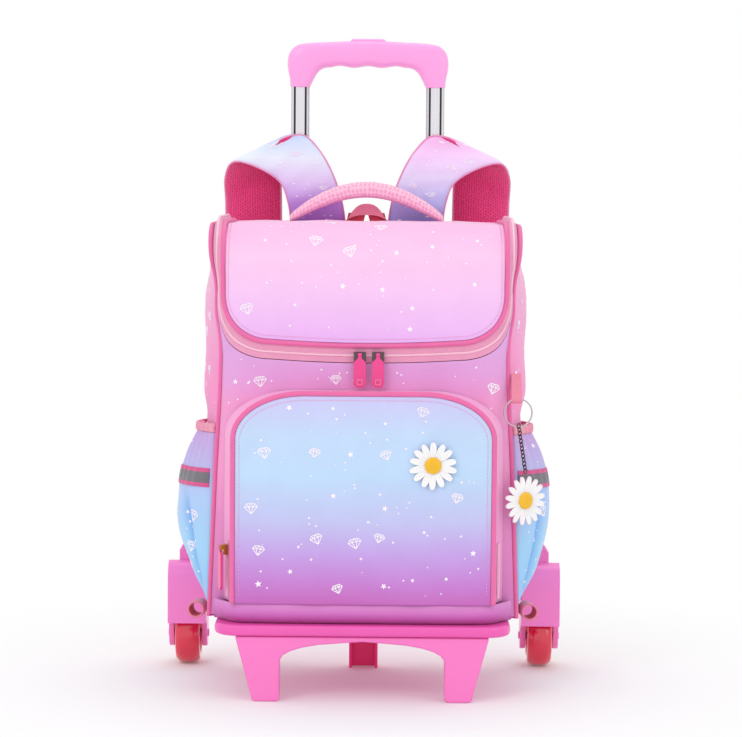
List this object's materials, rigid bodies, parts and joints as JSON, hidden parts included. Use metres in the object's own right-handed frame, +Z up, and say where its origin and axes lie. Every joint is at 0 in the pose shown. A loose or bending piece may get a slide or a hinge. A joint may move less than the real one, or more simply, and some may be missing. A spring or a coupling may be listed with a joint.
{
  "type": "wheeled backpack",
  "caption": "Children's zip-up school backpack on a moulded trolley base with two rear wheels, front feet and a telescopic pull handle.",
  "frame": {"origin": "middle of the box at the floor that the feet and wheels stand on", "axes": "+Z up, the front pocket faces -Y, +X to the right as seen from the front"},
  "size_m": [0.413, 0.2656, 0.658],
  "materials": {
    "lid_cloth": "printed woven polyester, pink to lilac",
    "body_cloth": "printed woven polyester, pink to lilac",
    "side_cloth": "printed woven polyester, pink",
    "low_cloth": "printed woven polyester, purple pink",
    "pocket_cloth": "printed woven polyester, sky blue to lilac",
    "strap_cloth": "printed padded polyester, mesh lining",
    "piping": "woven pink piping",
    "zip_tape": "woven zip tape",
    "handle_mesh": "spacer mesh over padding",
    "webbing": "woven webbing",
    "reflective": "grey reflective tape",
    "pull_plastic": "soft moulded plastic",
    "pink_plastic": "moulded plastic, satin gloss",
    "deep_plastic": "moulded plastic",
    "wheel_plastic": "translucent red plastic",
    "tube_metal": "drawn aluminium",
    "slider_metal": "dark plated metal",
    "gold_metal": "gold plated metal",
    "ring_metal": "nickel plated wire",
    "petal": "soft white plastic",
    "daisy_centre": "soft yellow plastic"
  },
  "bodies": {
    "bag": {"lid_flap": "lid_cloth", "flap_piping": "piping", "zip_tape_inner": "zip_tape", "zip_coil": "zip_tape", "zip_tape_outer": "zip_tape", "front_panel": "body_cloth", "side_panel_left": "side_cloth", "body_piping_left": "piping", "side_panel_right": "side_cloth", "body_piping_right": "piping", "back_panel": "side_cloth", "bottom_band": "low_cloth", "bottom_panel": "body_cloth", "pocket_gusset": "body_cloth", "pocket_piping": "piping", "pocket_front": "pocket_cloth", "pocket_zip_left": "zip_tape", "pocket_zip_right": "zip_tape", "zip_slider_left": "slider_metal", "zip_slider_right": "slider_metal", "pocket_slider": "gold_metal", "side_pocket_left": "pocket_cloth", "side_pocket_hem_left": "webbing", "side_pocket_band_left": "reflective", "corner_loop_left": "webbing", "side_pocket_right": "pocket_cloth", "side_pocket_hem_right": "webbing", "side_pocket_band_right": "reflective", "corner_loop_right": "webbing", "carry_handle": "handle_mesh", "hang_loop": "webbing", "shoulder_strap_left": "strap_cloth", "shoulder_strap_right": "strap_cloth", "pocket_daisy_petals": "petal", "pocket_daisy_centre": "daisy_centre", "charm_tab": "webbing", "split_ring": "ring_metal", "charm_chain": "slider_metal", "charm_petals": "petal", "charm_centre": "daisy_centre", "base_plate": "pink_plastic", "front_feet": "pink_plastic", "rear_foot": "deep_plastic", "back_board": "pink_plastic", "outer_tube_left": "tube_metal", "outer_tube_right": "tube_metal", "tube_bracket": "pink_plastic", "wheel_housing_left": "pink_plastic", "wheel_housing_right": "pink_plastic"},
    "handle": {"grip": "pink_plastic", "inner_tube_left": "tube_metal", "inner_tube_right": "tube_metal"},
    "button": {"grip_button": "pink_plastic"},
    "wheel_left": {"wheel_left": "wheel_plastic"},
    "wheel_right": {"wheel_right": "wheel_plastic"},
    "puller_left": {"zip_puller_left": "pull_plastic"},
    "puller_right": {"zip_puller_right": "pull_plastic"},
    "pocket_puller": {"pocket_puller": "pull_plastic"}
  },
  "joints": [
    {"name": "handle_slide", "type": "slide", "parent": "bag", "child": "handle", "axis": [0, 0, 1], "range_m": [-0.143, 0.19]},
    {"name": "button_press", "type": "slide", "parent": "handle", "child": "button", "axis": [0, 0, -1], "range_m": [0, 0.0018], "stiffness_N_per_m": 600},
    {"name": "wheel_left_spin", "type": "hinge", "parent": "bag", "child": "wheel_left", "pos_m": [-0.185, 0.09135, 0.032], "axis": [1, 0, 0], "continuous": true},
    {"name": "wheel_right_spin", "type": "hinge", "parent": "bag", "child": "wheel_right", "pos_m": [0.185, 0.09135, 0.032], "axis": [1, 0, 0], "continuous": true},
    {"name": "zip_puller_left_swing", "type": "hinge", "parent": "bag", "child": "puller_left", "pos_m": [-0.0045, -0.09665, 0.3403], "axis": [-1, 0, 0], "range_deg": [0, 110]},
    {"name": "zip_puller_right_swing", "type": "hinge", "parent": "bag", "child": "puller_right", "pos_m": [0.0135, -0.09665, 0.3403], "axis": [-1, 0, 0], "range_deg": [0, 110]},
    {"name": "pocket_puller_swing", "type": "hinge", "parent": "bag", "child": "pocket_puller", "pos_m": [-0.14031, -0.10523, 0.15016], "axis": [-0.3399, 0.9405, 0], "range_deg": [0, 100]}
  ]
}
